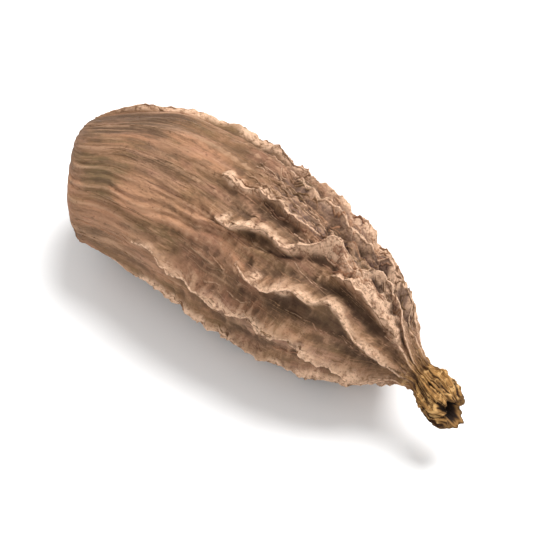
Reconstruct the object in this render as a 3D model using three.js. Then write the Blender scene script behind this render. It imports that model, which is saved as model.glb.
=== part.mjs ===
// A dried black cardamom pod lying on its side. It is one grown body: a plump husk with
// a blunt base, crinkled lengthwise wings that swell towards the apex, and the dried,
// hollow stub of the calyx at the tip. Millimetres, +Z up, +X towards the calyx stub.
// The husk is a skin of rows along the pod and columns round it. The columns follow the
// wings, so every crest is a line of vertices.
import * as THREE from "three";

// Sizes along the pod's own axis, measured from the scar at its base
const POD_LENGTH = 38;
const HUSK_START = 0.5; // the scar is a small knob in front of this
const HUSK_WIDEST = 10.2;
const HUSK_END = 33.5;
const BODY_RADIUS = 6.3;
const SCAR_RADIUS = 1;
const BASE_CURVE = { inner: 2.4, outer: 0.46 };
const APEX_CURVE = { inner: 3.9, outer: 0.88 };
const BASE_SLANT = 0.46; // the base is cut off at a slant, further out on its upper back
const SLANT_REACH = 7.2;

// The calyx stub: a short ribbed barrel with a ragged, hollow mouth
const STUB_RADIUS = 1.1;
const STUB_BULGE = 0.45;
const STUB_SWELLS = [33.8, 36.2, 36.8, 39];
const STUB_WALL = 0.36;
const STUB_HOLLOW_DEPTH = 1.8;
const STUB_HOLLOW_RADIUS = 0.5;
const STUB_HOLLOW_TAPER = [[0.03, 1], [0.5, 0.8]]; // shares of its depth and of the mouth's radius
const MOUTH_RAGGEDNESS = 0.25;
const MOUTH_SLANT = 0.45; // the rim is cut back on one upper side
const MOUTH_SLANT_DEG = 8;
const MOUTH_EDGE = 2; // how far down the stub the slant and the raggedness reach
const NECK_BLEND = 0.7;

// The axis bows a little, in one slanting plane
const BOW = [[0, -0.5], [3, -1], [7, 0.35], [14, 1], [21, 0.5], [28, 0.05], [33, -0.4],
  [38, -1.5]];
const BOW_PLANE_DEG = 56; // from straight up, towards +Y

// A slightly three-sided section, with low lumps where the seed chambers are, and a husk
// that has shrunk inwards between the wings. A stretch is [starts, full, fades, gone].
const THREE_SIDED = 0.028;
const THREE_SIDED_DEG = 40;
const LUMP_HEIGHT = 0.13;
const CHAMBERS = [0.5, 4, 28, 33];
const VALLEY_DEPTH = 0.42;
const SHRUNKEN = [9, 24, 30, 33];

// How it lies: the axis leans so that the weight is over the flat spot
const LEAN_DEG = 1.6;
const AXIS_HEIGHT = 5.95;

// The wings sway sideways and have low teeth. They sink to ribs on the stub.
const WING_WIDTH = 0.45;
const WING_SHARPNESS = 1.4;
const SWAY = 0.2;
const SWAY_WAVE = 4.6;
const SWAYING = [2, 9, 29, 32];
const TEETH = 0.2;
const TEETH_WAVE = 3.3;
const NECK = [30.3, 34.6];
const RIB_SHARE = 0.3;

// Towards the base, where the wings are low, the husk has faint lengthwise ribs instead
const BASE_RIB_HEIGHT = 0.07;
const BASE_RIBS_PER_WING = 2;
const BASE_RIBBED = [0.5, 4, 14, 24];

// Every wing in order round the pod. A path gives its crest's angle in degrees from
// straight up, positive towards +Y, at stations along the axis. It rises from its start
// station to its full height, and one dies out at its end station.
const WINGS = [
  { path: [[10, -6], [14, -4], [16.5, -4], [18, 4], [19.3, 8], [21, 5], [22.5, 5], [25, 22],
    [28.6, 33], [31, 37], [32.5, 28], [34, 14]], start: 13.8, full: 15.6, end: 24, height: 0.4 },
  { path: [[4, 20], [12, 31], [17, 34], [24, 32], [28.8, 45], [31, 48], [34, 38]], start: 15,
    full: 22, height: 0.7 },
  { path: [[1, 42], [4, 46], [9, 51], [14, 53], [20, 55], [25, 54], [29, 61], [31.5, 62]],
    start: -4, full: 5, height: 0.65 },
  { path: [[5, 78], [14, 82], [22, 78], [28, 83], [34, 86]], start: 8, full: 18, height: 0.7 },
  { path: [[4, 101], [13, 103], [20, 108], [27, 104], [34, 109]], start: 12, full: 19,
    height: 0.8 },
  { path: [[5, 124], [15, 127], [23, 130], [29, 126], [34, 133]], start: 9, full: 20,
    height: 0.65 },
  { path: [[6, 150], [16, 148], [24, 153], [30, 149], [34, 156]], start: 14, full: 21,
    height: 0.75 },
  { path: [[4, 171], [15, 173], [24, 170], [30, 172], [34, 179]], start: 6, full: 15,
    height: 0.6 },
  { path: [[5, 195], [14, 193], [22, 197], [29, 194], [34, 201]], start: 8, full: 17,
    height: 0.65 },
  { path: [[6, 220], [16, 222], [24, 218], [30, 217], [34, 222]], start: 11, full: 19,
    height: 0.65 },
  { path: [[8, 251], [14, 250], [18, 249], [22, 247], [27, 249], [29.5, 244]], start: 6, full: 13,
    height: 0.6 },
  { path: [[10, 285], [14, 284], [18, 283], [21, 282], [23.7, 285], [26, 281], [28, 277],
    [30, 271], [32, 263]], start: 9, full: 14, height: 0.8 },
  { path: [[10, 302], [17, 315], [19.5, 312], [21.5, 309], [22.8, 311], [24, 323], [26, 323],
    [27, 328], [28.5, 321], [30, 313], [31.5, 301], [34, 288]], start: 17, full: 24,
    height: 0.85 },
  { path: [[8, 314], [18, 325], [22, 331], [24, 342], [26, 350], [27.5, 355], [30.4, 357],
    [31.5, 352], [33, 338], [34, 325]], start: 25, full: 27.5, height: 0.75 },
  { path: [[9, 330], [14, 329], [17, 330], [18.9, 338], [20.5, 343], [22.6, 345], [24, 355],
    [25, 365], [26, 362], [27.5, 367], [28.6, 379], [30, 386], [31.3, 383], [32.5, 369],
    [34, 350]], start: 15, full: 18.5, height: 0.95 },
];
const WING_FADE = 3.5;

// Mesh density
const COLUMNS_PER_WING = 8;
const COLUMN_CROWDING = 0.09; // draws columns towards the crests
const SCAR_ROWS = [0.12, 0.35];
const CAP_START = 0.52; // just behind the scar
const CAP_END = 2.6;
const CAP_ROWS = 6;
const CAP_CROWDING = 1.8;
const BODY_ROWS = 28;
const NECK_START = 30.6;
const NECK_ROWS = 7;

const TURN = 2 * Math.PI;
const ACROSS = new THREE.Vector3(0, 1, 0);
const radians = (degrees) => (degrees * Math.PI) / 180;

function smoothstep(low, high, x) {
  const t = Math.min(1, Math.max(0, (x - low) / (high - low)));
  return t * t * (3 - 2 * t);
}

// 1 in the middle of a stretch, 0 outside it
function within([starts, full, fades, gone], x) {
  return smoothstep(starts, full, x) * (1 - smoothstep(fades, gone, x));
}

// A smooth curve through [x, value] points, level beyond its ends
function through(points, x) {
  const last = points.length - 1;
  if (x <= points[0][0]) return points[0][1];
  if (x >= points[last][0]) return points[last][1];
  const k = points.findIndex((point) => point[0] > x) - 1;
  const slopeAt = (i) => {
    if (i === 0 || i === last) return 0;
    return (points[i + 1][1] - points[i - 1][1]) / (points[i + 1][0] - points[i - 1][0]);
  };
  const span = points[k + 1][0] - points[k][0];
  const t = (x - points[k][0]) / span;
  const rise = t * t * (3 - 2 * t);
  const leaving = slopeAt(k) * span * t * (1 - t) * (1 - t);
  const arriving = slopeAt(k + 1) * span * t * t * (1 - t);
  return points[k][1] + (points[k + 1][1] - points[k][1]) * rise + leaving - arriving;
}

// Radius of the bare husk and stub, before wings, at a station along the axis
function bodyRadius(x) {
  if (x < HUSK_WIDEST) {
    const u = Math.min(1, (HUSK_WIDEST - x) / (HUSK_WIDEST - HUSK_START));
    const base = BODY_RADIUS * (1 - u ** BASE_CURVE.inner) ** BASE_CURVE.outer;
    return Math.max(base, SCAR_RADIUS);
  }
  const u = Math.min(1, (x - HUSK_WIDEST) / (HUSK_END - HUSK_WIDEST));
  const apex = BODY_RADIUS * (1 - u ** APEX_CURVE.inner) ** APEX_CURVE.outer;
  const stub = STUB_RADIUS + STUB_BULGE * within(STUB_SWELLS, x);
  return (apex + stub + Math.hypot(apex - stub, NECK_BLEND)) / 2;
}

// A phase for each wing, so that no two sway or have teeth in step
const phaseOf = (wing) => 2.4 * WINGS.indexOf(wing) + 0.7;

// Angle of a wing's crest at a station, in radians from straight up
function crestAngle(wing, x) {
  const phase = phaseOf(wing);
  const wave = SWAY_WAVE + 0.8 * Math.sin(3 * phase);
  const sway = SWAY * within(SWAYING, x) * Math.sin((TURN * x) / wave + phase);
  return radians(through(wing.path, x)) + sway / BODY_RADIUS;
}

// Height of a wing's crest over the husk
function crestHeight(wing, x) {
  const end = wing.end ?? 2 * POD_LENGTH;
  const grown = within([wing.start, wing.full, end - WING_FADE, end], x);
  const sunk = 1 - (1 - RIB_SHARE) * smoothstep(...NECK, x);
  const teeth = 1 + TEETH * Math.sin((TURN * x) / TEETH_WAVE + 2.1 * phaseOf(wing));
  return wing.height * grown * sunk * teeth * smoothstep(0, 4, x);
}

// How far the skin stands out from the bare husk, at an angle between two wings
function relief(x, radius, { before, after, share, angle }) {
  const width = WING_WIDTH * Math.min(1, (2 * radius) / BODY_RADIUS);
  const rises = [before, after].map(({ wing, at }) => {
    const away = (Math.abs(angle - at) * radius) / width;
    return crestHeight(wing, x) * Math.exp(-(away ** WING_SHARPNESS));
  });
  const valley = VALLEY_DEPTH * within(SHRUNKEN, x) * Math.sin(Math.PI * share) ** 2;
  const ribs = BASE_RIB_HEIGHT * within(BASE_RIBBED, x) * Math.cos(TURN * BASE_RIBS_PER_WING * share);
  return Math.max(...rises) - valley + ribs;
}

// Broad shape of the section: three faint sides and low lumps
function lumps(x, angle) {
  const sides = THREE_SIDED * BODY_RADIUS * Math.cos(3 * (angle - radians(THREE_SIDED_DEG)));
  const chambers = Math.sin(2 * angle + x / 3.1) * Math.sin(x / 2.3 + 3 * angle + 1);
  return within(CHAMBERS, x) * (sides + LUMP_HEIGHT * chambers);
}

// A point of the pod where it lies, by station, radius and angle
function placed(x, radius, angle) {
  const plane = radians(BOW_PLANE_DEG);
  const bow = through(BOW, x);
  const slant = BASE_SLANT * (1 - smoothstep(0, SLANT_REACH, x)) * Math.cos(angle - plane);
  const point = new THREE.Vector3(
    x - slant * radius - POD_LENGTH / 2,
    radius * Math.sin(angle) + bow * Math.sin(plane),
    radius * Math.cos(angle) + bow * Math.cos(plane),
  );
  point.applyAxisAngle(ACROSS, radians(LEAN_DEG));
  point.z = Math.max(0, point.z + AXIS_HEIGHT); // flat where it would sink into the surface
  return point;
}

// Stations of the rows, base to mouth. The base cap has its rows closer together.
function stations() {
  const spread = (from, to, count, crowding = 1) =>
    Array.from({ length: count }, (_, i) => from + (to - from) * (i / count) ** crowding);
  return [
    ...SCAR_ROWS,
    ...spread(CAP_START, CAP_END, CAP_ROWS, CAP_CROWDING),
    ...spread(CAP_END, NECK_START, BODY_ROWS),
    ...spread(NECK_START, POD_LENGTH, NECK_ROWS),
    POD_LENGTH,
  ];
}

// The angles of one row's columns, each with the wings on its two sides
function columns(x) {
  const crests = WINGS.map((wing) => ({ wing, at: crestAngle(wing, x) }));
  crests.push({ wing: WINGS[0], at: crests[0].at + TURN });
  return WINGS.flatMap((_, i) => {
    const [before, after] = crests.slice(i, i + 2);
    return Array.from({ length: COLUMNS_PER_WING }, (_, k) => {
      const even = k / COLUMNS_PER_WING;
      const share = even - COLUMN_CROWDING * Math.sin(TURN * even);
      return { before, after, share, angle: before.at + (after.at - before.at) * share };
    });
  });
}

// How far the mouth's rim stands forward at an angle
function mouthSkew(x, angle) {
  const ragged = MOUTH_RAGGEDNESS * (Math.sin(2 * angle + 0.6) + 0.6 * Math.sin(5 * angle));
  const slant = MOUTH_SLANT * Math.cos(angle - radians(MOUTH_SLANT_DEG));
  return smoothstep(POD_LENGTH - MOUTH_EDGE, POD_LENGTH, x) * (ragged - slant);
}

// One closed ring of the outside. The scar is a low knob.
function outerRing(x) {
  const radius = bodyRadius(x);
  const knob = Math.sqrt(Math.min(1, x / HUSK_START));
  return columns(x).map((column) => {
    const out = knob * radius + relief(x, radius, column) + lumps(x, column.angle);
    return placed(x + mouthSkew(x, column.angle), out, column.angle);
  });
}

// The rings inside the mouth, down to the floor of the hollow
function hollowRings() {
  const mouth = bodyRadius(POD_LENGTH) - STUB_WALL;
  const steps = STUB_HOLLOW_TAPER.map(([down, wide]) => [down * STUB_HOLLOW_DEPTH, wide * mouth]);
  steps.push([STUB_HOLLOW_DEPTH, STUB_HOLLOW_RADIUS]);
  return steps.map(([depth, radius]) => {
    const x = POD_LENGTH - depth;
    return columns(x).map(({ angle }) => placed(x + mouthSkew(x, angle), radius, angle));
  });
}

// A closed skin from rings of equal length, with a pole at each end
function skinOf(rings, firstPole, lastPole) {
  const size = rings[0].length;
  const points = [firstPole, ...rings.flat(), lastPole];
  const end = points.length - 1;
  const faces = [];
  for (let k = 0; k < size; k++) {
    const next = (k + 1) % size;
    faces.push(0, 1 + k, 1 + next);
    for (let ring = 0; ring + 1 < rings.length; ring++) {
      const a = 1 + ring * size;
      const b = a + size;
      faces.push(a + k, b + k, b + next, a + k, b + next, a + next);
    }
    faces.push(end, end - size + next, end - size + k);
  }
  const geometry = new THREE.BufferGeometry().setFromPoints(points);
  geometry.setIndex(faces);
  return geometry;
}

// The whole pod, with its origin at the middle of its box, on the surface
function podGeometry() {
  const rings = [...stations().map(outerRing), ...hollowRings()];
  const floor = placed(POD_LENGTH - STUB_HOLLOW_DEPTH, 0, 0);
  const geometry = skinOf(rings, placed(0, 0, 0), floor);
  geometry.computeBoundingBox();
  const centre = geometry.boundingBox.getCenter(new THREE.Vector3());
  geometry.translate(-centre.x, -centre.y, 0);
  geometry.computeVertexNormals();
  return geometry;
}

const husk = new THREE.MeshStandardMaterial({ color: 0x8f6a4e, roughness: 0.78, metalness: 0 });

const pod = new THREE.Mesh(podGeometry(), husk);
pod.name = "pod";

const group = new THREE.Group();
group.add(pod);

export default group;
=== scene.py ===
import math

import bpy
import numpy as np
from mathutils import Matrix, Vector


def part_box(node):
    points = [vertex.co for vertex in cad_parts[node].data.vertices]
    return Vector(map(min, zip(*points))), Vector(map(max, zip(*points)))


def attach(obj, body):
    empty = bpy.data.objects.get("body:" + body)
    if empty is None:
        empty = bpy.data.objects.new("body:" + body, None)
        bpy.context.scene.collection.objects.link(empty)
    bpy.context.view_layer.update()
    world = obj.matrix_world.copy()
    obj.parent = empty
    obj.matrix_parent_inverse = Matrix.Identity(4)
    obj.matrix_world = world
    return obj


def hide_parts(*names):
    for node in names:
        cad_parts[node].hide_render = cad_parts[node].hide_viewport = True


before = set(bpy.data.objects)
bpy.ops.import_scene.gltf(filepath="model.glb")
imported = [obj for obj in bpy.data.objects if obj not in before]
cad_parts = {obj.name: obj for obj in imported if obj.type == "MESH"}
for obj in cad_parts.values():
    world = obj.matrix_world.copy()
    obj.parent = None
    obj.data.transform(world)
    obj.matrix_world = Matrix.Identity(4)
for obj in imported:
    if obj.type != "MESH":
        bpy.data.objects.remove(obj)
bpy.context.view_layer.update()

MM = 0.001
TURN = 2 * math.pi

# The solid's own sizes, along the pod's axis from the scar at its base
POD_LENGTH = 38
HUSK_START = 0.5
HUSK_WIDEST = 10.2
HUSK_END = 33.5
BODY_RADIUS = 6.3
SCAR_RADIUS = 1.0
BASE_CURVE = (2.4, 0.46)
APEX_CURVE = (3.9, 0.88)
BASE_SLANT = 0.46
SLANT_REACH = 7.2
STUB_RADIUS = 1.1
STUB_BULGE = 0.45
STUB_SWELLS = (33.8, 36.2, 36.8, 39)
STUB_HOLLOW_DEPTH = 1.8
STUB_HOLLOW_RADIUS = 0.5
MOUTH_RAGGEDNESS = 0.25
MOUTH_EDGE = 2
MOUTH_SLANT = 0.45 # the rim is cut back on the side that looks up
MOUTH_SLANT_AT = math.radians(8)
NECK_BLEND = 0.7
BOW = ((0, -0.5), (3, -1), (7, 0.35), (14, 1), (21, 0.5), (28, 0.05), (33, -0.4), (38, -1.5))
BOW_PLANE = math.radians(56)
THREE_SIDED = 0.028
THREE_SIDED_AT = math.radians(40)
LUMP_HEIGHT = 0.13
CHAMBERS = (0.5, 4, 28, 33)
VALLEY_DEPTH = 0.42
SHRUNKEN = (9, 24, 30, 33)
LEAN = math.radians(1.6)
AXIS_HEIGHT = 5.95
WING_WIDTH = 0.45
WING_SHARPNESS = 1.4
SWAY = 0.2
SWAY_WAVE = 4.6
SWAYING = (2, 9, 29, 32)
TEETH = 0.2
TEETH_WAVE = 3.3
NECK = (30.3, 34.6)
RIB_SHARE = 0.3
BASE_RIB_HEIGHT = 0.07
BASE_RIBS_PER_WING = 2
BASE_RIBBED = (0.5, 4, 14, 24)
NEVER = 2 * POD_LENGTH
WING_FADE = 3.5

# Each wing's path of (station, degrees from straight up), where it starts, is at full
# height and dies out, and its height
WINGS = (
    (((10, -6), (14, -4), (16.5, -4), (18, 4), (19.3, 8), (21, 5), (22.5, 5), (25, 22), (28.6, 33),
      (31, 37), (32.5, 28), (34, 14)), 13.8, 15.6, 24, 0.4),
    (((4, 20), (12, 31), (17, 34), (24, 32), (28.8, 45), (31, 48), (34, 38)), 15, 22, NEVER, 0.7),
    (((1, 42), (4, 46), (9, 51), (14, 53), (20, 55), (25, 54), (29, 61), (31.5, 62)), -4, 5, NEVER,
     0.65),
    (((5, 78), (14, 82), (22, 78), (28, 83), (34, 86)), 8, 18, NEVER, 0.7),
    (((4, 101), (13, 103), (20, 108), (27, 104), (34, 109)), 12, 19, NEVER, 0.8),
    (((5, 124), (15, 127), (23, 130), (29, 126), (34, 133)), 9, 20, NEVER, 0.65),
    (((6, 150), (16, 148), (24, 153), (30, 149), (34, 156)), 14, 21, NEVER, 0.75),
    (((4, 171), (15, 173), (24, 170), (30, 172), (34, 179)), 6, 15, NEVER, 0.6),
    (((5, 195), (14, 193), (22, 197), (29, 194), (34, 201)), 8, 17, NEVER, 0.65),
    (((6, 220), (16, 222), (24, 218), (30, 217), (34, 222)), 11, 19, NEVER, 0.65),
    (((8, 251), (14, 250), (18, 249), (22, 247), (27, 249), (29.5, 244)), 6, 13, NEVER, 0.6),
    (((10, 285), (14, 284), (18, 283), (21, 282), (23.7, 285), (26, 281), (28, 277), (30, 271),
      (32, 263)), 9, 14, NEVER, 0.8),
    (((10, 302), (17, 315), (19.5, 312), (21.5, 309), (22.8, 311), (24, 323), (26, 323), (27, 328),
      (28.5, 321), (30, 313), (31.5, 301), (34, 288)), 17, 24, NEVER, 0.85),
    (((8, 314), (18, 325), (22, 331), (24, 342), (26, 350), (27.5, 355), (30.4, 357), (31.5, 352),
      (33, 338), (34, 325)), 25, 27.5, NEVER, 0.75),
    (((9, 330), (14, 329), (17, 330), (18.9, 338), (20.5, 343), (22.6, 345), (24, 355), (25, 365),
      (26, 362), (27.5, 367), (28.6, 379), (30, 386), (31.3, 383), (32.5, 369), (34, 350)),
     15, 18.5, NEVER, 0.95),
)

# The fine skin's mesh
COLUMNS_PER_WING = 24
COLUMN_CROWDING = 0.09
ROWS = 264
CLOSER_ROWS = 0.5 # rows are closer by this share from the second of these stations on
CLOSER_FROM = (9, 15)
KNOB_SLOPE = 4 # steepness that the rows count with on the scar's small knob
HOLLOW_ROWS = 9
# how much painted shade the inside of the stub's mouth gets at its deepest
HOLLOW_CAVITY = 0.34
SHIFT_RADIUS = 2 # a shift sideways nearer the axis than this turns the skin no further
RIDGE_RADIUS = 1.2 # and this is the same for the ridges of loose skin


def smoothstep(low, high, x):
    t = np.clip((x - low) / (high - low), 0, 1)
    return t * t * (3 - 2 * t)


def within(stretch, x):
    """1 in the middle of a stretch (starts, full, fades, gone), 0 outside it"""
    starts, full, fades, gone = stretch
    return smoothstep(starts, full, x) * (1 - smoothstep(fades, gone, x))


def through(points, x):
    """A smooth curve through (x, value) points, level beyond its ends"""
    px, py = np.array(points, float).T
    slope = np.zeros(len(px))
    slope[1:-1] = (py[2:] - py[:-2]) / (px[2:] - px[:-2])
    x = np.clip(x, px[0], px[-1])
    k = np.clip(np.searchsorted(px, x, side="right") - 1, 0, len(px) - 2)
    span = px[k + 1] - px[k]
    t = (x - px[k]) / span
    rise = t * t * (3 - 2 * t)
    leaving = slope[k] * span * t * (1 - t) ** 2
    arriving = slope[k + 1] * span * t * t * (1 - t)
    return py[k] + (py[k + 1] - py[k]) * rise + leaving - arriving


def noise(points, size, seed):
    """Smooth noise between -1 and 1, with lumps of about the given size"""
    side = 32
    table = np.random.default_rng(seed).uniform(-1, 1, (side,) * 3)
    scaled = points / np.asarray(size)
    cell = np.floor(scaled).astype(int)
    t = scaled - cell
    t = t * t * (3 - 2 * t)
    total = np.zeros(points.shape[:-1])
    for corner in np.ndindex(2, 2, 2):
        weight = np.prod(np.where(corner, t, 1 - t), axis=-1)
        a, b, c = np.moveaxis((cell + corner) % side, -1, 0)
        total += weight * table[a, b, c]
    return total


def along(x, size, seed):
    """Noise that changes only along the pod"""
    x = np.asarray(x, float)
    return noise(np.stack([x, np.full_like(x, 0.3), np.full_like(x, 0.7)], -1), size, seed)


def ridged(points, size, seed):
    """Noise with sharp ridges, between -1 and 1"""
    return 1 - 2 * np.abs(noise(points, size, seed)) ** 0.8


def layered(kind, points, layers):
    """Noise of one kind in layers of (height, size along the pod, size across it, seed)"""
    return sum(height * kind(points, (length, breadth, breadth), seed)
               for height, length, breadth, seed in layers)


def layered_along(x, layers, number):
    """Noise along the pod in layers of (height, size, seed), different for each number"""
    return sum(height * along(x, size, seed + number) for height, size, seed in layers)


# The bare husk and its wings, as in the solid
def body_radius(x):
    base_u = np.clip((HUSK_WIDEST - x) / (HUSK_WIDEST - HUSK_START), 0, 1)
    base = BODY_RADIUS * (1 - base_u ** BASE_CURVE[0]) ** BASE_CURVE[1]
    apex_u = np.clip((x - HUSK_WIDEST) / (HUSK_END - HUSK_WIDEST), 0, 1)
    apex = BODY_RADIUS * (1 - apex_u ** APEX_CURVE[0]) ** APEX_CURVE[1]
    stub = STUB_RADIUS + STUB_BULGE * within(STUB_SWELLS, x)
    rest = (apex + stub + np.hypot(apex - stub, NECK_BLEND)) / 2
    return np.where(x < HUSK_WIDEST, np.maximum(base, SCAR_RADIUS), rest)


def wing_phase(i):
    return 2.4 * i + 0.7


def crest_angle(i, x):
    phase = wing_phase(i)
    wave = SWAY_WAVE + 0.8 * math.sin(3 * phase)
    sway = SWAY * within(SWAYING, x) * np.sin(TURN * x / wave + phase)
    return np.radians(through(WINGS[i][0], x)) + sway / BODY_RADIUS


def wing_growth(i, x):
    """How far a wing has risen at a station, from 0 to 1, before its teeth"""
    start, full, end = WINGS[i][1:4]
    sunk = 1 - (1 - RIB_SHARE) * smoothstep(*NECK, x)
    return within((start, full, end - WING_FADE, end), x) * sunk * smoothstep(0, 4, x)


def crest_height(i, x):
    teeth = 1 + TEETH * np.sin(TURN * x / TEETH_WAVE + 2.1 * wing_phase(i))
    return WINGS[i][4] * wing_growth(i, x) * teeth


def mouth_skew(x, angle):
    ragged = np.sin(2 * angle + 0.6) + 0.6 * np.sin(5 * angle) + 0.4 * np.sin(11 * angle + 1)
    skew = MOUTH_RAGGEDNESS * ragged - MOUTH_SLANT * np.cos(angle - MOUTH_SLANT_AT)
    return smoothstep(POD_LENGTH - MOUTH_EDGE, POD_LENGTH, x) * skew


def placed(x, radius, angle):
    """Where a point of the pod lies, by station, radius and angle"""
    bow = through(BOW, x)
    slant = BASE_SLANT * (1 - smoothstep(0, SLANT_REACH, x)) * np.cos(angle - BOW_PLANE)
    px = x - slant * radius - POD_LENGTH / 2
    py = radius * np.sin(angle) + bow * math.sin(BOW_PLANE)
    pz = radius * np.cos(angle) + bow * math.cos(BOW_PLANE)
    lain_x = px * math.cos(LEAN) + pz * math.sin(LEAN)
    lain_z = pz * math.cos(LEAN) - px * math.sin(LEAN) + AXIS_HEIGHT
    return np.stack([lain_x, py, np.maximum(lain_z, 0)], -1)


def row_stations():
    """Stations of the fine skin's rows, spaced evenly over it but closer in its crinkled half"""
    fine = np.linspace(0, POD_LENGTH, 4001)
    slope = np.gradient(body_radius(fine), fine)
    slope[fine < HUSK_START] = KNOB_SLOPE
    density = np.hypot(1, slope) * (1 + CLOSER_ROWS * smoothstep(*CLOSER_FROM, fine))
    reached = np.concatenate([[0], np.cumsum((density[1:] + density[:-1]) / 2)])
    return np.interp(np.linspace(0, reached[-1], ROWS + 1)[1:], reached, fine)


# How the fine skin stands up into wings
WINGED = (9, 17) # the base half is smooth, and the wrinkles among wings come in between these
SOLID_SHARE = 0.86 # a wing's body is this much of the solid's, and a thin crest stands on it
CREST_HEIGHT = 0.1
CREST_WIDTH = 0.27
CREST_SHARPNESS = 1.6
CREST_ROUNDNESS = 0.22
BAND_WIDTH = 0.42 # the pale, crumbly band along a crest
WHOLE = 0.3 # how torn the edge of a wing is where it is still whole
TORN_FROM = 9 # a wing's edge changes from whole to torn from this station on
TORN_LATE = {2: 18} # or from this one, on this wing
TORN_OVER = 9
UPPER_FLANK = 1.35 # one flank of a wing is gentle, and the other steep
LOWER_FLANK = 0.7
UNDER_AWAY = 0.8 # the line of painted shade at the foot of a wing's steep flank
UNDER_WIDTH = 0.35
RUFFLE = 0.3 # how far a wing's edge strays sideways
LEAN_OVER = 0.25
LEAN_WAVE = 13
DIMMED = {13: (24, 25.5, 28.5, 30.5)} # a stretch where this wing's crest is hardly pale
DIMMING = 0.8

# Noise along each wing, in layers of height, size and seed
UNEVEN = ((0.26, 2.6, 500), (0.24, 0.95, 600), (0.13, 0.42, 650))
UNEVEN_RANGE = (-0.5, 0.1)
CREST_TEETH = ((0.7, 0.7, 100), (0.4, 0.32, 200))
TEETH_MIDDLE = 0.8
TEETH_RANGE = (0, 1.3)
WORN = ((0.7, 1.5, 900), (0.4, 0.5, 930))
WORN_MIDDLE = 0.75
WORN_RANGE = (0.12, 1)
RUFFLES = ((1, 1.25, 300), (0.5, 0.5, 400), (0.25, 0.24, 450))

# Noise over the skin, in layers of height, size along the pod, size across it and seed
DRIFT = ((0.35, 5, 4, 11),) # how the grain wanders
PLEATS = ((0.2, 0.55, 1.5, 21), (0.13, 0.28, 0.7, 28))
WRINKLES = ((0.1, 0.8, 0.9, 22),)
FINE_WRINKLES = ((0.06, 0.5, 0.4, 23),)
CRUMPLES = ((0.2, 1, 0.75, 29), (0.12, 0.42, 0.36, 30))
PITS = ((1, 1.3, 0.8, 32),)
FURROWS = ((0.11, 11, 1.3, 24),)
STRIAE = ((0.05, 7, 0.6, 25), (0.035, 4, 0.3, 26))
BASE_WRINKLES = ((0.09, 5, 1.1, 39),)
BASE_DIMPLES = ((0.06, 1.2, 0.9, 41),)
BULGES = ((0.12, 2.2, 1.7, 35),)
FINE_CRUMBS = ((1, 0.19, 0.19, 27),)
COARSE_CRUMBS = ((1, 0.45, 0.34, 33),)
STUB_RIBS = ((0.22, 3.2, 1, 38),)
STUB_LUMPS = ((0.14, 0.8, 0.6, 34),)
WAVER = ((0.25, 0.8, 0.8, 37),) # how a fold or crease strays from its path
KNOT_LUMPS = ((0.5, 0.5, 0.5, 36),)
FOLD_LUMPS = ((0.6, 0.5, 0.5, 40),)
HOLLOW_LUMPS = ((0.12, 0.7, 0.35, 31),)

# Pleats are faint right on a crest, and striae are fainter among the wings
PLEATS_LOST = 0.7
PLEATS_LOST_WIDTH = 0.3
STRIAE_LOST = 0.3
WRINKLE_DRIFT = 0.3

# Where the furrows, bulges, crumpled strip and the two ends' own shapes lie, and how deep pits go
FURROWED = (0.3, 3, 29, 33)
BASE_END = (0.5, 1.3, 3.5, 8)
BULGING = (11, 16, 28, 31)
ON_STUB = (32.5, 34.5)
STUB_END = (36.9, POD_LENGTH)
CRUMPLED = (16, 20, 30, 33)
CRUMPLED_DEGREES = (-6, 6, 50, 60)
CRUMPLED_DULLING = 0.35 # crests in the crumpled strip are less pale by this share
PIT_DEPTH = 0.38
PITTED = (0.35, 0.75) # pits open where their noise passes these
STUB_INSET = 0.34 # the stub's skin is this far inside the solid's before its ribs
STUB_PINCH = 0.28 # and its end is drawn in this much further

# Pale knots and pads, each with its station, degrees, length, width and height
KNOTS = (
    (14.9, -2, 1.1, 0.55, 0.4),
    (16.9, -29, 0.9, 0.6, 0.4),
    (23.6, -44, 1.3, 0.8, 0.35),
    (21.4, -47, 0.8, 0.4, 0.2),
    (28.7, 9, 3.6, 1.0, 0.5),
    (24.6, 3, 1.6, 0.7, 0.25),
)

# Pale crumbly folds, each with its path of (station, degrees), width and height
FOLDS = (
    (((22, -14), (23, -11), (24.2, -2), (25.2, 3), (26.6, -2), (27.6, 1), (28.8, 10), (30.2, 9),
      (31.4, 1), (32.8, -12)), 0.5, 0.34),
    (((27.2, 47), (28.6, 44), (29.8, 47), (31, 50), (32.4, 42)), 0.4, 0.25),
)

# Narrow creases, each with its path of (station, degrees), width and depth
CREASES = (
    (((24.4, 50), (26, 46), (27.2, 40), (28.4, 33), (29.8, 34), (31.4, 40), (32.6, 42)), 0.32, 0.85),
    (((23.4, 14), (24.6, 17), (25.8, 12), (27, 14)), 0.28, 0.6),
    (((20.5, 40), (22.5, 43), (24, 40), (25.5, 42)), 0.22, 0.45),
    (((25.4, 30), (26.4, 26), (27.6, 28), (29, 22)), 0.24, 0.5),
    (((17, -36), (19, -34), (21.5, -27), (23.5, -22)), 0.25, 0.25),
    (((19, -82), (22, -78), (24.5, -80), (27, -77)), 0.3, 0.3),
)

# Patches of colour, each with its stations, degrees from straight up, colour and strength
PATCHES = (
    ("orange", (6, 10, 13, 21), (-68, -50, -40, -18), (176, 131, 98), 0.65),
    ("purple", (14, 22, 30, 33), (-8, 12, 46, 62), (110, 86, 80), 0.8),
    ("russet", (11, 17, 21, 27), (-98, -80, -60, -40), (130, 88, 66), 0.7),
    ("umber", (0, 4, 6, 12), (-22, 8, 26, 50), (88, 66, 50), 0.8),
    ("olive", (2.6, 5.2, 6, 9), (-72, -52, -36, -16), (108, 90, 62), 0.6),
    ("blush", (3, 7, 13, 18), (-104, -88, -74, -62), (180, 138, 110), 0.4),
    ("rose", (16, 20, 28, 31), (-102, -92, -80, -70), (192, 148, 124), 0.55),
    # painted shade: a darker brown on the lower side of the base
    ("dun", (-2, -1, 7, 15), (-116, -98, -80, -62), (120, 92, 68), 0.45),
)


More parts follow.
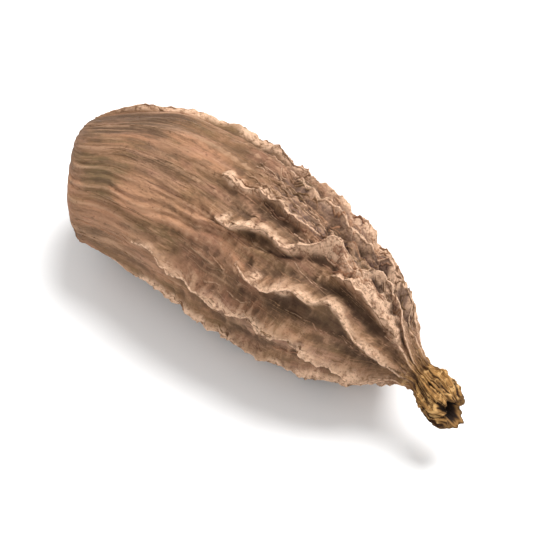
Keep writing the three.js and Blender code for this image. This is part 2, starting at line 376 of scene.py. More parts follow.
def torn(i, x):
    """How torn a wing's edge is at a station, up to 1"""
    start = TORN_LATE.get(i, TORN_FROM)
    return WHOLE + (1 - WHOLE) * smoothstep(start, start + TORN_OVER, x)


def columns(rows):
    """Each row's angles of wings and of columns, and the columns' shares of the way between wings"""
    count = len(WINGS)
    even = np.arange(COLUMNS_PER_WING) / COLUMNS_PER_WING
    share = even - COLUMN_CROWDING * np.sin(TURN * even)
    crests = np.stack([crest_angle(i, rows) for i in range(count)], 1)
    crests = np.concatenate([crests, crests[:, :1] + TURN], 1)
    gap = crests[:, 1:] - crests[:, :-1]
    angle = crests[:, :-1, None] + gap[:, :, None] * share
    return crests, angle, share


class Grid:
    """The fine skin's places: rows along the pod, wings round it and columns between wings"""

    def __init__(self, rows):
        self.rows = rows
        self.crests, self.angle, self.share = columns(rows)
        self.x = np.broadcast_to(rows[:, None, None], self.angle.shape)
        self.radius = body_radius(self.x)
        self.degrees = (np.degrees(self.angle) + 180) % 360 - 180
        self.winged = smoothstep(*WINGED, self.x)
        self.crumpled = within(CRUMPLED, self.x) * within(CRUMPLED_DEGREES, self.degrees)
        self.husk = self.round_axis(self.radius)

        # The grain is laid on an even cylinder, so its lines run to both ends
        cylinder = self.round_axis(BODY_RADIUS)
        self.drift = layered(noise, cylinder, DRIFT)[..., None] * np.array([0, 1, -1])
        self.grain = cylinder + self.drift

    def round_axis(self, radius):
        """Positions at a distance from a straight axis, for noise"""
        return np.stack([self.x, radius * np.sin(self.angle), radius * np.cos(self.angle)], -1)

    def across(self, degrees):
        """How far each place is from an angle, measured round the husk"""
        return ((self.angle - np.radians(degrees) + math.pi) % TURN - math.pi) * self.radius

    def beside(self, line, breadth):
        """How near a wavering line of (station, degrees) each place is, from 0 to 1"""
        ends = (line[0][0], line[0][0] + 1, line[-1][0] - 1, line[-1][0])
        away = self.across(through(line, self.x)) + layered(noise, self.husk, WAVER)
        return within(ends, self.x) * np.exp(-(away / breadth) ** 2)


def wing_shape(i, x, away, radius):
    """A wing's height, paleness, shade and sideways shift, at distances beside its crest"""
    growth = wing_growth(i, x)
    rip = torn(i, x)
    width = WING_WIDTH * np.minimum(1, 2 * radius / BODY_RADIUS)
    flank = np.where(away > 0, UPPER_FLANK, LOWER_FLANK) * width
    rounded = np.hypot(away / flank, CREST_ROUNDNESS) - CREST_ROUNDNESS
    fold = np.exp(-rounded ** WING_SHARPNESS)
    uneven = 1 + rip * np.clip(layered_along(x, UNEVEN, i), *UNEVEN_RANGE)
    teeth = np.clip(TEETH_MIDDLE + layered_along(x, CREST_TEETH, i), *TEETH_RANGE)
    thin = np.exp(-(np.abs(away) / CREST_WIDTH) ** CREST_SHARPNESS)
    height = SOLID_SHARE * crest_height(i, x) * uneven * fold
    height += CREST_HEIGHT * growth * teeth * rip * thin

    shown = growth ** 2 * (1 - DIMMING * within(DIMMED[i], x)) if i in DIMMED else growth ** 2
    worn = np.clip(WORN_MIDDLE + layered_along(x, WORN, i), *WORN_RANGE)
    pale = shown * worn * np.exp(-(away / BAND_WIDTH) ** 2)
    shade = shown * np.exp(-((away + UNDER_AWAY) / UNDER_WIDTH) ** 2)
    lean_over = LEAN_OVER * (np.sin(TURN * x / LEAN_WAVE + 1.7 * wing_phase(i)) - 0.8)
    shift = growth * fold * (RUFFLE * rip * layered_along(x, RUFFLES, i) + lean_over)
    return height, pale, shade, shift


def raised_wings(grid):
    """All wings' heights, paleness, shade and sideways shift, and how near the nearest crest is"""
    rise, edge, under, shift = np.zeros((4, *grid.x.shape))
    near = np.full_like(grid.x, 9)
    for side in (0, 1):
        for sector in range(len(WINGS)):
            i = (sector + side) % len(WINGS)
            radius = grid.radius[:, sector]
            away = (grid.angle[:, sector] - grid.crests[:, sector + side, None]) * radius
            height, pale, shade, strayed = wing_shape(i, grid.rows[:, None], away, radius)
            rise[:, sector] = np.maximum(rise[:, sector], height)
            edge[:, sector] = np.maximum(edge[:, sector], pale)
            under[:, sector] = np.maximum(under[:, sector], shade)
            shift[:, sector] += strayed
            near[:, sector] = np.minimum(near[:, sector], np.abs(away))
    return rise, edge, under, shift, near


def bare_shape(grid):
    """The solid's shrunken valleys, and its low ribs, three sides and lumps"""
    valley = VALLEY_DEPTH * within(SHRUNKEN, grid.x) * np.sin(math.pi * grid.share) ** 2
    ribs = np.cos(TURN * BASE_RIBS_PER_WING * grid.share)
    sides = THREE_SIDED * BODY_RADIUS * np.cos(3 * (grid.angle - THREE_SIDED_AT))
    chambers = np.sin(2 * grid.angle + grid.x / 3.1) * np.sin(grid.x / 2.3 + 3 * grid.angle + 1)
    lumps = within(CHAMBERS, grid.x) * (sides + LUMP_HEIGHT * chambers)
    return valley, BASE_RIB_HEIGHT * within(BASE_RIBBED, grid.x) * ribs + lumps


def crevice_depth(grid):
    """How deep the skin goes in the pits of the crumpled strip and in the creases"""
    depth = PIT_DEPTH * grid.crumpled * smoothstep(*PITTED, layered(noise, grid.husk, PITS))
    for line, breadth, deepest in CREASES:
        depth += deepest * grid.beside(line, breadth)
    return depth


def fine_shape(grid, edge, near):
    """Pleats down the wings' flanks, wrinkles in the valleys, lines, crumbs, and the stub's ribs"""
    on_crest = np.exp(-(near / PLEATS_LOST_WIDTH) ** 2)
    pleated = grid.winged * np.exp(-near ** 2) * (1 - PLEATS_LOST * on_crest)
    shape = pleated * layered(noise, grid.husk, PLEATS)
    shape += grid.winged * layered(ridged, grid.husk + WRINKLE_DRIFT * grid.drift, WRINKLES)
    shape += grid.winged * layered(ridged, grid.husk, FINE_WRINKLES)
    shape += grid.crumpled * layered(ridged, grid.husk, CRUMPLES)
    shape += within(FURROWED, grid.x) * layered(noise, grid.grain, FURROWS)
    shape += (1 - STRIAE_LOST * grid.winged) * layered(ridged, grid.grain, STRIAE)
    base = layered(ridged, grid.grain, BASE_WRINKLES) + layered(noise, grid.husk, BASE_DIMPLES)
    shape += within(BASE_END, grid.x) * base
    shape += within(BULGING, grid.x) * layered(noise, grid.husk, BULGES)

    # Crumbs are highest on the pale edges, and the stub has ribs and lumps
    on_stub = smoothstep(*ON_STUB, grid.x)
    fine_crumbs = layered(noise, grid.husk, FINE_CRUMBS)
    coarse_crumbs = layered(noise, grid.husk, COARSE_CRUMBS)
    shape += (0.02 + 0.1 * edge + 0.05 * on_stub) * fine_crumbs
    shape += (0.03 * grid.winged + 0.11 * edge) * coarse_crumbs
    stub = layered(ridged, grid.husk, STUB_RIBS) + layered(noise, grid.husk, STUB_LUMPS)
    shape += on_stub * (stub - STUB_INSET) - STUB_PINCH * smoothstep(*STUB_END, grid.x)
    return shape


def husk_skin(rows):
    """The fine skin's points and its fields, each shaped (rows, columns)"""
    grid = Grid(rows)
    rise, edge, under, shift, near = raised_wings(grid)
    edge *= 1 - CRUMPLED_DULLING * grid.crumpled
    for station, spot, length, breadth, height in KNOTS:
        knot = np.exp(-((grid.x - station) / length * 2) ** 2 - (grid.across(spot) / breadth) ** 2)
        rise += height * knot * (1 + layered(noise, grid.husk, KNOT_LUMPS))
        edge = np.maximum(edge, 0.9 * knot)
    for line, breadth, height in FOLDS:
        fold = grid.beside(line, breadth)
        rise += height * fold * (1 + layered(noise, grid.husk, FOLD_LUMPS))
        edge = np.maximum(edge, fold)

    valley, bumps = bare_shape(grid)
    crevice = crevice_depth(grid)
    knob = np.sqrt(np.minimum(1, grid.x / HUSK_START))
    fine = smoothstep(0, 1.5, grid.x) * (fine_shape(grid, edge, near) - crevice)
    out = knob * grid.radius + rise - valley + bumps + fine
    turned = grid.angle + shift / np.maximum(grid.radius, SHIFT_RADIUS)
    points = placed(grid.x + mouth_skew(grid.x, grid.angle), out, turned)
    fields = {
        "rise": rise,
        "edge": edge,
        "under": under,
        "crevice": crevice,
        "valley": valley / VALLEY_DEPTH,
        "out": out,
        "turned": turned,
        "station": grid.x,
    }
    fields.update({f"grain_{axis}": grid.grain[..., k] for k, axis in enumerate("xyz")})
    for name, stations, spread, _, _ in PATCHES:
        fields[name] = within(stations, grid.x) * within(spread, grid.degrees)
    flat = (len(rows), -1)
    return points.reshape(*flat, 3), {name: value.reshape(flat) for name, value in fields.items()}


def hollow_skin():
    """Rings inside the stub's mouth from the rim down, their stations and how much painted shade they
    get
    """
    share = np.linspace(0, 1, HOLLOW_ROWS + 1)[1:, None]
    depth = STUB_HOLLOW_DEPTH * share ** 1.6
    mouth = float(body_radius(np.array(float(POD_LENGTH)))) - STUB_PINCH
    radius = mouth - (mouth - STUB_HOLLOW_RADIUS) * smoothstep(-0.4, 0.8, share)
    x = POD_LENGTH - depth
    _, angle, _ = columns(np.full(1, POD_LENGTH))
    angle = np.broadcast_to(angle.reshape(1, -1), (HOLLOW_ROWS, angle.size))
    x = np.broadcast_to(x, angle.shape)
    spot = np.stack([x, 1.3 * np.sin(angle), 1.3 * np.cos(angle)], -1)
    radius = radius + layered(noise, spot, HOLLOW_LUMPS) * (1 - share)
    cavity = HOLLOW_CAVITY * smoothstep(0.1, 0.6, np.broadcast_to(share, angle.shape))
    return placed(x + mouth_skew(x, angle), radius, angle), x, cavity


def blurred(field, rows, cols):
    """A grid field blurred over a few rows and columns, closed round the pod"""
    total = np.zeros_like(field)
    padded = np.pad(field, ((rows, rows), (0, 0)), mode="edge")
    for i in range(2 * rows + 1):
        total += padded[i:i + len(field)]
    field = total / (2 * rows + 1)
    return sum(np.roll(field, j, axis=1) for j in range(-cols, cols + 1)) / (2 * cols + 1)


FIELDS = ("edge", "under", "crevice", "rise", "valley", "relief", "cavity", "station")
FIELDS += tuple(patch[0] for patch in PATCHES)


def build_piece(name, vertices, faces, fields, grain):
    """A mesh object with its fields, joined to the pod's node"""
    mesh = bpy.data.meshes.new(name)
    mesh.from_pydata((vertices * MM).tolist(), [], faces)
    mesh.update()
    for field in FIELDS:
        attribute = mesh.attributes.new(field, "FLOAT", "POINT")
        values = np.broadcast_to(fields.get(field, 0.0), len(vertices))
        attribute.data.foreach_set("value", values.astype(np.float32))
    attribute = mesh.attributes.new("grain", "FLOAT_VECTOR", "POINT")
    attribute.data.foreach_set("vector", grain.astype(np.float32).ravel())
    mesh.shade_smooth()
    piece = bpy.data.objects.new(name, mesh)
    bpy.context.collection.objects.link(piece)
    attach(piece, "root")
    return piece


def ring_faces(first, rings, size):
    """Four-sided faces between rings of points that follow each other from a first vertex"""
    column = np.arange(size)
    after = (column + 1) % size
    start = first + size * np.arange(rings - 1)[:, None]
    corners = [start + column, start + size + column, start + size + after, start + after]
    return np.stack(corners, -1).reshape(-1, 4).tolist()


def build_husk(skin, fields):
    """The whole skin with the hollow in its stub, and how far it was moved to the solid's place"""
    hollow, hollow_x, hollow_cavity = hollow_skin()
    size = skin.shape[1]
    points = np.concatenate([skin, hollow])
    on_axis = np.zeros(1)
    base_pole = placed(on_axis, on_axis, on_axis)
    floor_pole = placed(on_axis + POD_LENGTH - STUB_HOLLOW_DEPTH, on_axis, on_axis)
    vertices = np.concatenate([base_pole, points.reshape(-1, 3), floor_pole])

    # The solid's origin is at the middle of its box, so the skin's is too
    low, high = (np.array(corner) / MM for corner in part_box("pod"))
    move = (low + high) / 2 - (vertices.min(0) + vertices.max(0)) / 2
    move[2] = 0

    last = len(vertices) - 1
    faces = ring_faces(1, len(points), size)
    faces += [(0, 1 + i, 1 + (i + 1) % size) for i in range(size)]
    faces += [(last, last - size + (i + 1) % size, last - size + i) for i in range(size)]

    def whole(field, inside):
        """A field's values for every vertex, with those inside the stub's hollow"""
        inside = np.broadcast_to(inside, hollow_x.shape).ravel()
        return np.concatenate([[field[0].mean()], field.ravel(), inside, inside[-1:]])

    out = fields["out"]
    relief = out - blurred(out, 2, 3)
    fields = dict(fields, relief=relief, cavity=blurred(out, 4, 9) - out)
    inside = {"cavity": hollow_cavity, "station": hollow_x}
    values = {name: whole(fields[name], inside.get(name, 0)) for name in FIELDS}
    grain = np.stack([whole(fields[f"grain_{axis}"], 0) for axis in "xyz"], 1)
    piece = build_piece("pod_skin", vertices + move, faces, values, grain)
    lay_out(piece.data, size, len(points))
    return piece, move


def lay_out(mesh, columns_round, rows_along):
    """A flat map of the skin for baking: round the pod across it, and along the pod up it"""
    corners = np.zeros(len(mesh.loops), int)
    mesh.loops.foreach_get("vertex_index", corners)
    starts = np.zeros(len(mesh.polygons), int)
    totals = np.zeros(len(mesh.polygons), int)
    mesh.polygons.foreach_get("loop_start", starts)
    mesh.polygons.foreach_get("loop_total", totals)
    face_of = np.repeat(np.arange(len(totals)), totals)
    column = (corners - 1) % columns_round
    row = (corners - 1) // columns_round + 1.0
    last = len(mesh.vertices) - 1
    row[corners == 0] = 0
    row[corners == last] = rows_along + 1

    # A face that closes the ring has its far corners at the map's end, and a pole's corner is
    # above the middle of its face
    highest = np.zeros(len(totals), int)
    ordinary = (corners != 0) & (corners != last)
    np.maximum.at(highest, face_of[ordinary], column[ordinary])
    lowest = np.full(len(totals), columns_round)
    np.minimum.at(lowest, face_of[ordinary], column[ordinary])
    closes = (highest - lowest > 1)[face_of]
    across = np.where(closes & (column == 0), columns_round, column).astype(float)
    start_of = np.where(closes, columns_round - 1, lowest[face_of])
    across = np.where(ordinary, across, start_of + 0.5)
    spots = np.stack([across / columns_round, row / (rows_along + 1)], 1)
    layer = mesh.uv_layers.new(name="OFBake")
    layer.data.foreach_set("uv", spots.astype(np.float32).ravel())


class Strips:
    """Thin closed ridges that stand on the skin, gathered into one piece"""

    ACROSS = np.array([-1, -0.75, -0.2, 0.2, 0.75, 1])
    UP = np.array([0, 0.5, 1, 1, 0.5, 0])
    ROOT = np.where(UP == 0, -0.12, 0) # a ridge's feet reach under the skin
    PALENESS = 0.35 + 0.65 * UP # and its top is palest

    def __init__(self, rows, fields):
        order = np.argsort(fields["turned"], axis=1)
        self.rows = rows
        self.turned = np.take_along_axis(fields["turned"], order, 1)
        self.out = np.take_along_axis(fields["out"], order, 1)
        self.points = []
        self.faces = []
        self.strength = []
        self.grain = []
        self.stations = []

    def skin_out(self, x, angle):
        """The skin's distance from the axis at stations and angles"""
        nearest = np.clip(np.searchsorted(self.rows, x), 0, len(self.rows) - 1)
        return np.array([np.interp(a, self.turned[row], self.out[row], period=TURN)
                         for a, row in zip(angle, nearest)])

    def add(self, x, angle, out, height, sideways, thick, strength):
        """One ridge along x and angle, from the skin at out up to a height, leaning sideways"""
        up = out[:, None] + self.ROOT + self.UP * height[:, None]
        side = self.ACROSS * thick + self.UP * sideways[:, None]
        turn = angle[:, None] + side / np.maximum(up, RIDGE_RADIUS)
        at = np.broadcast_to(x[:, None], up.shape)
        skewed = at + mouth_skew(at, turn)
        first = sum(len(part) for part in self.points)
        size = len(self.UP)
        self.points.append(placed(skewed, up, turn).reshape(-1, 3))
        ring = np.arange(size)
        self.faces += ring_faces(first, len(x), size)
        self.faces.append((first + ring[::-1]).tolist())
        self.faces.append((first + size * (len(x) - 1) + ring).tolist())
        cylinder = [at, BODY_RADIUS * np.sin(turn), BODY_RADIUS * np.cos(turn)]
        self.grain.append(np.stack(cylinder, -1).reshape(-1, 3))
        self.strength.append(strength * np.tile(self.PALENESS, len(x)))
        self.stations.append(at.ravel())

    def build(self, name, move):
        edge = np.concatenate(self.strength)
        fields = {"edge": edge, "rise": edge, "station": np.concatenate(self.stations)}
        return build_piece(name, np.concatenate(self.points) + move, self.faces, fields,
                           np.concatenate(self.grain))


# Ragged papery edges along the wings' crests
FRILL_STEP = 0.07
FRILL_HEIGHT = 0.12
FRILL_THICKNESS = 0.09
FRILL_SIDEWAYS = 0.15
FRILL_RAGS = ((0.5, 0.8, 700), (0.4, 0.3, 720), (0.25, 0.14, 740))
FRILL_TURNS = ((1, 0.6, 760), (0.6, 0.25, 780))


def build_frills(rows, fields, move):
    strips = Strips(rows, fields)
    for i, (_, start, full, end, _) in enumerate(WINGS):
        begin = max(0.8, start + 0.35 * (full - start))
        stop = min(end - 0.8, POD_LENGTH - 0.4)
        x = np.arange(begin, stop, FRILL_STEP)
        crest = i * COLUMNS_PER_WING
        out = np.interp(x, rows, fields["out"][:, crest])
        angle = np.interp(x, rows, fields["turned"][:, crest])
        growth = wing_growth(i, x)
        ragged = np.clip(0.55 + layered_along(x, FRILL_RAGS, i), 0, 1)
        height = FRILL_HEIGHT * growth * torn(i, x) * ragged
        sideways = FRILL_SIDEWAYS * growth * (layered_along(x, FRILL_TURNS, i) - 0.25)
        strips.add(x, angle, out, height, sideways, FRILL_THICKNESS, 1)
    return strips.build("wing_frills", move)


# Loose skin: folds and flakes of the crumpled strip, flakes all round, long fine fibres and the
# stub's fibres. Each kind has its number, stations, degrees, lengths, heights, half thickness,
# crookedness and paleness.
LOOSE = (
    (200, (15, 32), (-4, 60), (0.6, 2.6), (0.08, 0.22), 0.06, 0.5, 0.55),
    (260, (15, 33), (-180, 180), (0.5, 2.2), (0.05, 0.16), 0.05, 0.4, 0.4),
    (190, (1.5, 26), (-180, 180), (3, 12), (0.02, 0.05), 0.035, 0.06, 0.3),
    (90, (32.5, 36), (-180, 180), (1.0, 3.0), (0.05, 0.16), 0.05, 0.06, 0.2),
)
LONG = 3 # from this length on, a fibre has longer steps
SHORT_STEP = 0.1
LONG_STEP = 0.24
SEEDS_PER_KIND = 300
BEND_SEEDS = 1000
RAG_SEEDS = 3000


def build_loose(rows, fields, move):
    strips = Strips(rows, fields)
    for kind, (count, stations, degrees, lengths, heights, thick, crooked, pale) in enumerate(LOOSE):
        rng = np.random.default_rng(40 + kind)
        for number in range(count):
            start = rng.uniform(*stations)
            length = rng.uniform(*lengths)
            step = SHORT_STEP if length < LONG else LONG_STEP
            x = np.arange(start, min(start + length, POD_LENGTH - 0.1), step)
            if len(x) < 4:
                continue
            seed = SEEDS_PER_KIND * kind + number
            bend = crooked * along(x, 1.1, BEND_SEEDS + seed)
            middle = math.radians(rng.uniform(*degrees))
            angle = middle + bend / np.maximum(body_radius(x), SHIFT_RADIUS)
            share = (x - x[0]) / (x[-1] - x[0])
            ragged = np.clip(0.7 + 0.6 * along(x, 0.35, RAG_SEEDS + seed), 0.1, 1.3)
            height = rng.uniform(*heights) * np.sin(math.pi * share) ** 0.5 * ragged
            out = strips.skin_out(x, angle)
            sideways = height * rng.uniform(-0.6, 0.6)
            strips.add(x, angle, out, height, sideways, thick, pale * rng.uniform(0.3, 1.2))
    return strips.build("loose_fibres", move)


# Colours of the husk, as matched display values
BROWN = (134, 99, 70)
PINKISH = (178, 130, 98)
DARK_STREAK = (104, 76, 52)
WARM_BROWN = (142, 108, 85)
OLIVE = (112, 98, 62)
ROSY = (176, 124, 104)
VALLEY = (124, 99, 73)
PALE_LINE = (196, 154, 120)
DARK_LINE = (82, 57, 39)
PALE_THREAD = (200, 162, 128)
DARK_SPECK = (84, 58, 42)
# painted shade and painted highlight on the short wrinkles across the wings' flanks
WRINKLE_SHADE = (88, 64, 45)
WRINKLE_HIGHLIGHT = (200, 156, 122)
DARK_MOTTLE = (86, 66, 48)
PALE_MOTTLE = (186, 142, 112)
FLANK = (172, 138, 112)
# painted highlight where the skin stands out, and painted shade where it lies deep
RAISED_HIGHLIGHT = (196, 156, 124)
SUNKEN_SHADE = (82, 59, 42)
# painted shade at the foot of a wing's steep flank
SHADED = (96, 69, 50)
CREST = (226, 187, 156)
GRIT = (96, 68, 48)
# painted shade in the skin's hollows and in its narrow creases
CAVITY_SHADE = (64, 44, 31)
CREVICE_SHADE = (70, 47, 42)
SCAR = (104, 80, 56)
STUB_FURROW = (58, 34, 15)
GOLDEN = (196, 146, 86)
# painted highlight on the stub's raised fibres
GOLDEN_HIGHLIGHT = (236, 188, 122)
# painted shade in the stub's hollows and inside its mouth
STUB_CAVITY_SHADE = (46, 27, 12)
MOUTH_SHADE = (34, 20, 10)


def linear(red, green, blue):
    """A display colour as the linear colour that a shader takes"""

    def channel(value):
        value /= 255
        return value / 12.92 if value <= 0.04045 else ((value + 0.055) / 1.055) ** 2.4

    return (channel(red), channel(green), channel(blue), 1.0)


class Nodes:
    """Short ways to add and join shader nodes"""

    def __init__(self, material):
        material.use_nodes = True
        self.tree = material.node_tree
        self.tree.nodes.clear()

    def add(self, kind, **inputs):
        node = self.tree.nodes.new(kind)
        for name, value in inputs.items():
            self.put(node, name.replace("_", " "), value)
        return node

    def put(self, node, socket, value):
        target = node.inputs[socket]
        if isinstance(value, bpy.types.NodeSocket):
            self.tree.links.new(value, target)
        else:
            target.default_value = value

    def attribute(self, name):
        node = self.tree.nodes.new("ShaderNodeAttribute")
        node.attribute_name = name
        return node

    def field(self, name):
        return self.attribute(name).outputs["Fac"]

    def math(self, operation, a, b):
        node = self.tree.nodes.new("ShaderNodeMath")
        node.operation = operation
        self.put(node, 0, a)
        self.put(node, 1, b)
        return node.outputs[0]

    def times(self, a, b):
        return self.math("MULTIPLY", a, b)

    def plus(self, a, b):
        return self.math("ADD", a, b)

    def ramp(self, value, low, high, to_low=0.0, to_high=1.0):
        node = self.tree.nodes.new("ShaderNodeMapRange")
        node.interpolation_type = "SMOOTHSTEP"
        for socket, number in zip(range(5), (value, low, high, to_low, to_high)):
            self.put(node, socket, number)
        return node.outputs[0]

    def mix(self, share, a, b):
        node = self.tree.nodes.new("ShaderNodeMix")
        node.data_type = "RGBA"
        self.put(node, 0, share)
        self.put(node, 6, a)
        self.put(node, 7, b)
        return node.outputs[2]

    def tint(self, tone, colour, value, low, high, strength=1.0, least=0.0, where=None):
        """The tone turned towards a colour while a value goes from low to high, and where told"""
        share = self.ramp(value, low, high, least, strength)
        if where is not None:
            share = self.times(where, share)
        return self.mix(share, tone, linear(*colour))

    def noise(self, vector, scale, detail, roughness=0.55):
        node = self.tree.nodes.new("ShaderNodeTexNoise")
        self.put(node, "Vector", vector)
        self.put(node, "Scale", scale)
        self.put(node, "Detail", detail)
        self.put(node, "Roughness", roughness)
        return node.outputs["Fac"]

    def stretched(self, vector, scale):
        node = self.tree.nodes.new("ShaderNodeVectorMath")
        node.operation = "MULTIPLY"
        self.put(node, 0, vector)
        self.put(node, 1, scale)
        return node.outputs[0]

    def along_grain(self, lengthwise, across, detail, roughness):
        """Noise drawn out along the grain, with its scales in lumps per millimetre"""
        grain = self.attribute("grain").outputs["Vector"]
        return self.noise(self.stretched(grain, (lengthwise, across, across)), 1.0, detail, roughness)

    def show(self, shader):
        self.add("ShaderNodeOutputMaterial", Surface=shader.outputs[0])


def husk_material():
    material = bpy.data.materials.new("husk")
    n = Nodes(material)
    spot = n.stretched(n.add("ShaderNodeTexCoord").outputs["Object"], (1 / MM,) * 3)
    edge, rise, valley, relief = (n.field(name) for name in ("edge", "rise", "valley", "relief"))
    cavity, under, crevice = (n.field(name) for name in ("cavity", "under", "crevice"))
    station = n.field("station")
    winged = n.ramp(station, 13, 20)

    # Broad tones: brown, with pinkish and dark streaks, and faint olive and rosy ones
    streaks = n.along_grain(0.09, 0.45, 3, 0.5)
    tone = n.tint(linear(*BROWN), PINKISH, streaks, 0.5, 0.66)
    tone = n.tint(tone, DARK_STREAK, streaks, 0.46, 0.32)
    tone = n.tint(tone, WARM_BROWN, n.noise(spot, 0.2, 2), 0.48, 0.66, 0.6)
    hue = n.along_grain(0.22, 0.6, 3, 0.6)
    tone = n.tint(tone, OLIVE, hue, 0.48, 0.36, 0.3)
    tone = n.tint(tone, ROSY, hue, 0.53, 0.66, 0.3)

    # Patches with streaky edges
    ragged = n.times(n.along_grain(0.35, 1.3, 4, 0.6), 2.4)
    for name, _, _, colour, strength in PATCHES:
        tone = n.tint(tone, colour, n.plus(n.field(name), ragged), 1.45, 2.1, strength)
    tone = n.tint(tone, VALLEY, n.noise(spot, 0.5, 3), 0.35, 0.6, 0.7, where=valley)

    # Fine lengthwise lines, pale and dark, and finer threads between them
    plain = n.ramp(station, 12, 20, 1, 0.6)
    lines = n.along_grain(0.2, 2.4, 5, 0.68)
    tone = n.tint(tone, PALE_LINE, lines, 0.53, 0.7, 0.45, where=plain)
    tone = n.tint(tone, DARK_LINE, lines, 0.46, 0.3, 0.38, where=plain)
    threads = n.along_grain(0.3, 6.5, 3, 0.6)
    tone = n.tint(tone, PALE_THREAD, threads, 0.56, 0.7, 0.28)
    tone = n.tint(tone, DARK_SPECK, threads, 0.44, 0.3, 0.24)

    # Short wrinkles across the wings' flanks, from the same noise as their bump: painted shade in
    # their furrows and a painted highlight on their tops
    hatch = n.along_grain(2.4, 0.8, 4, 0.7)
    tone = n.tint(tone, WRINKLE_SHADE, hatch, 0.46, 0.32, 0.4, where=winged)
    tone = n.tint(tone, WRINKLE_HIGHLIGHT, hatch, 0.5, 0.68, 0.48, where=winged)

    # Mottling, and painted light and shade from the fine relief: a painted highlight where the skin
    # stands out, painted shade where it lies deep
    crumb = n.noise(spot, 2.6, 5, 0.7)
    mottle = n.along_grain(0.42, 1.15, 4, 0.65)
    tone = n.tint(tone, DARK_MOTTLE, mottle, 0.47, 0.34, 0.45)
    tone = n.tint(tone, PALE_MOTTLE, mottle, 0.51, 0.68, 0.4)
    tone = n.tint(tone, FLANK, crumb, 0.4, 0.65, 0.7, where=n.ramp(rise, 0.25, 0.8))
    tone = n.tint(tone, RAISED_HIGHLIGHT, relief, 0.015, 0.1, 0.5)
    tone = n.tint(tone, SUNKEN_SHADE, relief, -0.02, -0.12, 0.45)

    # Crumbly crests, pale above with painted shade at their feet, dark grit, and painted shade in
    # hollows and crevices
    tone = n.tint(tone, SHADED, mottle, 0.32, 0.6, 0.6, least=0.2, where=under)
    tone = n.tint(tone, CREST, crumb, 0.36, 0.56, least=0.1, where=n.ramp(edge, 0.12, 0.75))
    tone = n.tint(tone, DARK_SPECK, crumb, 0.42, 0.28, 0.7)
    tone = n.tint(tone, GRIT, n.noise(spot, 5.5, 4, 0.7), 0.46, 0.3, 0.5, where=winged)
    tone = n.tint(tone, CAVITY_SHADE, cavity, 0.15, 0.52, 0.65)
    tone = n.tint(tone, CREVICE_SHADE, crevice, 0.08, 0.4, 0.7)

    # The scar at the base is dull, and the stub golden, with a painted highlight on its raised fibres
    # and painted shade in its hollows and its mouth
    tone = n.tint(tone, SCAR, station, 0.7, 0.35, 0.6)
    golden = n.tint(linear(*STUB_FURROW), GOLDEN, n.along_grain(0.5, 1.6, 4, 0.65), 0.38, 0.62)
    golden = n.tint(golden, GOLDEN_HIGHLIGHT, relief, 0, 0.08, 0.8)
    golden = n.tint(golden, STUB_CAVITY_SHADE, cavity, 0.02, 0.22, 0.85)
    tone = n.mix(n.ramp(n.plus(station, n.times(crumb, 3)), 34.2, 36.6), tone, golden)
    tone = n.tint(tone, MOUTH_SHADE, cavity, 0.16, 0.28, where=n.ramp(station, 35, 35.6))

    fine = n.times(n.along_grain(1, 6, 4, 0.65), 0.6)
    rough = n.times(n.noise(spot, 3.2, 6, 0.72), 0.9)
    height = n.plus(n.plus(fine, rough), n.times(winged, hatch))
    bump = n.add("ShaderNodeBump", Strength=1.0, Distance=0.3 * MM, Height=height)
    shader = n.add("ShaderNodeBsdfPrincipled", Base_Color=tone, Roughness=0.8, Specular_IOR_Level=0.22,
                   Normal=bump.outputs[0])
    n.show(shader)
    return material


def floor_material():
    material = bpy.data.materials.new("floor")
    n = Nodes(material)
    n.show(n.add("ShaderNodeBsdfPrincipled", Base_Color=(0.86, 0.86, 0.86, 1), Roughness=0.9,
                 Specular_IOR_Level=0.1))
    return material


# The stage: a pale floor, soft lights and a camera at the photograph's angle
CAMERA_AZIMUTH = math.radians(39.5)
CAMERA_ELEVATION = math.radians(48)
CAMERA_LENS = 200
SENSOR = 36
VIEW_WIDTH = 41
LOOK_AT = (-0.2, -0.2, 5.4)
LIT_HEIGHT = 5
FLOOR_SIDE = 8 # in metres, like the lights' distances and sizes


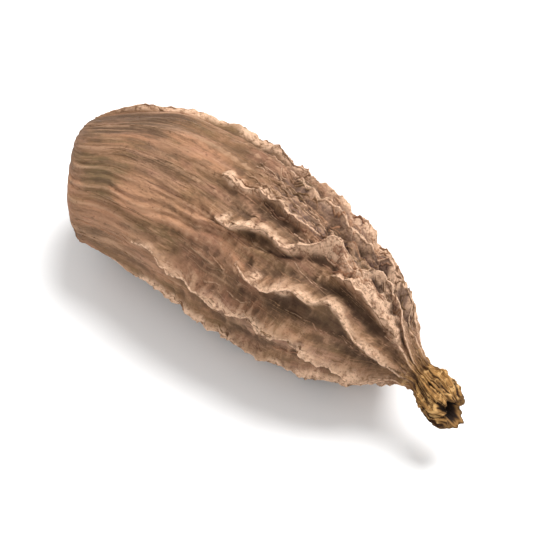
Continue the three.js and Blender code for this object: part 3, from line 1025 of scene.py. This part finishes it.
def build_floor():
    far = FLOOR_SIDE / 2
    mesh = bpy.data.meshes.new("floor")
    corners = [(-far, -far, 0), (far, -far, 0), (far, far, 0), (-far, far, 0)]
    mesh.from_pydata(corners, [], [(0, 1, 2, 3)])
    mesh.materials.append(floor_material())
    floor = bpy.data.objects.new("floor", mesh)
    bpy.context.collection.objects.link(floor)


def toward(azimuth, elevation):
    """Unit vector from the pod to something seen at this azimuth and elevation"""
    return Vector((
        math.sin(azimuth) * math.cos(elevation),
        -math.cos(azimuth) * math.cos(elevation),
        math.sin(elevation),
    ))


def aimed(obj, place, target):
    obj.location = place
    obj.rotation_euler = (target - place).to_track_quat("-Z", "Y").to_euler()
    bpy.context.collection.objects.link(obj)


def build_camera():
    data = bpy.data.cameras.new("camera")
    data.lens = CAMERA_LENS
    data.sensor_width = SENSOR
    data.clip_start = 0.01
    camera = bpy.data.objects.new("camera", data)
    target = Vector(LOOK_AT) * MM
    distance = VIEW_WIDTH * MM * CAMERA_LENS / SENSOR
    aimed(camera, target + toward(CAMERA_AZIMUTH, CAMERA_ELEVATION) * distance, target)
    bpy.context.scene.camera = camera


def build_light(name, azimuth, elevation, distance, size, power):
    data = bpy.data.lights.new(name, "AREA")
    data.shape = "DISK"
    data.size = size
    data.energy = power
    light = bpy.data.objects.new(name, data)
    target = Vector((0, 0, LIT_HEIGHT * MM))
    place = target + toward(math.radians(azimuth), math.radians(elevation)) * distance
    aimed(light, place, target)


def build_world():
    world = bpy.data.worlds.new("soft_sky")
    world.use_nodes = True
    background = world.node_tree.nodes["Background"]
    background.inputs[0].default_value = (1, 1, 1, 1)
    background.inputs[1].default_value = 0.75
    bpy.context.scene.world = world
    bpy.context.scene.view_settings.view_transform = "Standard"


rows = row_stations()
skin, skin_fields = husk_skin(rows)
husk, husk_move = build_husk(skin, skin_fields)
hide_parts("pod")
frills = build_frills(rows, skin_fields, husk_move)
loose = build_loose(rows, skin_fields, husk_move)
surface = husk_material()
for piece in (husk, frills, loose):
    piece.data.materials.append(surface)

build_floor()
build_world()
build_light("key", azimuth=172, elevation=62, distance=0.45, size=0.34, power=3.05)
build_light("fill", azimuth=20, elevation=40, distance=0.6, size=0.5, power=0.9)
build_camera()
